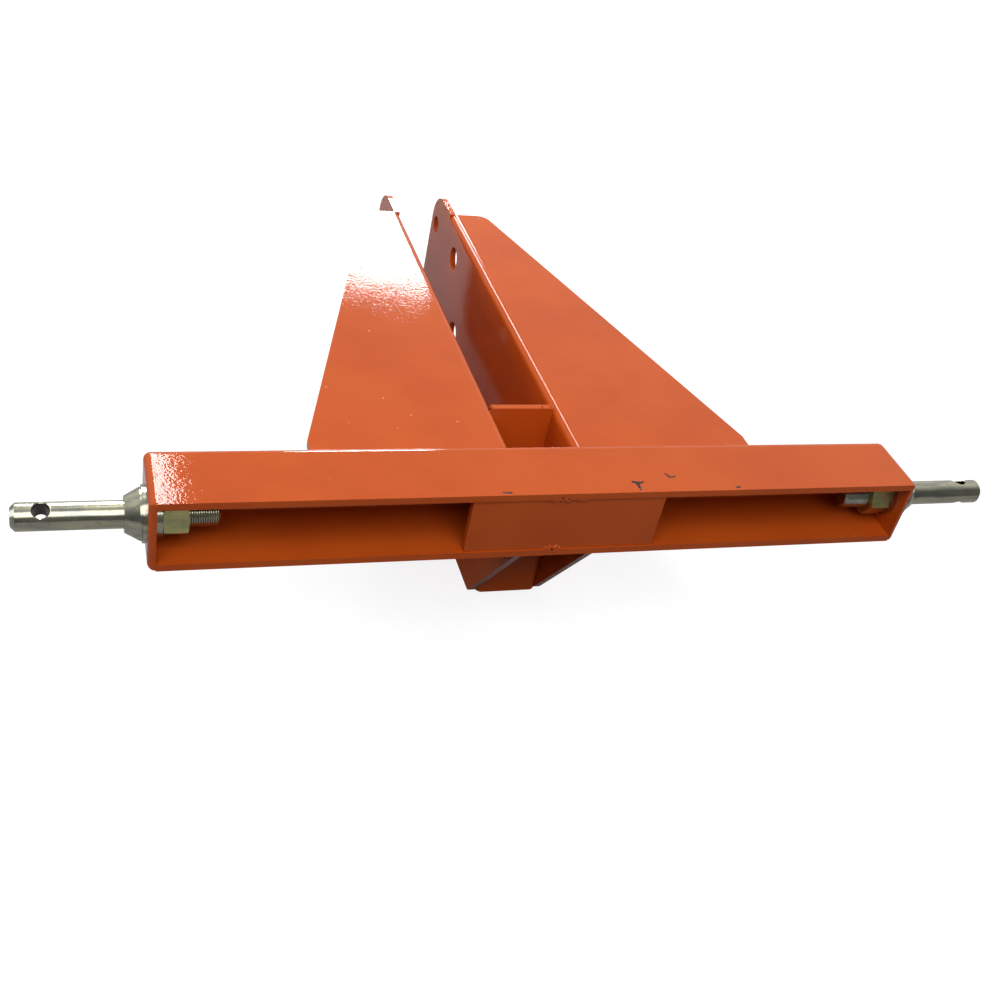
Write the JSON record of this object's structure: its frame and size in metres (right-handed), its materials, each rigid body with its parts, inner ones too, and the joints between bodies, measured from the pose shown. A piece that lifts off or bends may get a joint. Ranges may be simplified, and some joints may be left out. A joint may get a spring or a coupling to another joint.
{
  "type": "three-point receiver hitch",
  "caption": "A-shaped three-point hitch frame with a cross beam, lift pins at its ends, a mast of bent plates for the top link and a square receiver socket at its foot.",
  "frame": {"origin": "middle of the outline's bottom: the hitch lies on the back edges of its two mast plates", "axes": "+X along the cross beam, +Y up the mast to the top-link holes, +Z towards the tractor's side"},
  "size_m": [0.8822, 0.6044, 0.189],
  "materials": {
    "orange_enamel": "glossy orange enamel sprayed over the whole weldment",
    "zinc_plated_steel": "zinc plated, slightly dull",
    "yellow_zinc_steel": "yellow zinc plated"
  },
  "bodies": {
    "root": {"cross_beam": "orange_enamel", "left_end_plate": "orange_enamel", "right_end_plate": "orange_enamel", "centre_plate": "orange_enamel", "left_mast_plate": "orange_enamel", "right_mast_plate": "orange_enamel", "receiver_tube": "orange_enamel", "cross_plate": "orange_enamel", "front_tack_weld": "orange_enamel", "back_tack_weld": "orange_enamel", "left_end_weld": "orange_enamel", "left_mast_web_weld": "orange_enamel", "left_brace_weld": "orange_enamel", "left_cross_plate_weld": "orange_enamel", "left_receiver_tube_weld": "orange_enamel", "left_wing_foot_weld": "orange_enamel", "right_end_weld": "orange_enamel", "right_mast_web_weld": "orange_enamel", "right_brace_weld": "orange_enamel", "right_cross_plate_weld": "orange_enamel", "right_receiver_tube_weld": "orange_enamel", "right_wing_foot_weld": "orange_enamel", "left_lift_pin": "zinc_plated_steel", "right_lift_pin": "zinc_plated_steel", "left_flat_washer": "zinc_plated_steel", "right_flat_washer": "zinc_plated_steel", "left_lock_washer": "zinc_plated_steel", "right_lock_washer": "zinc_plated_steel", "left_hex_nut": "yellow_zinc_steel", "right_hex_nut": "yellow_zinc_steel"}
  },
  "joints": []
}
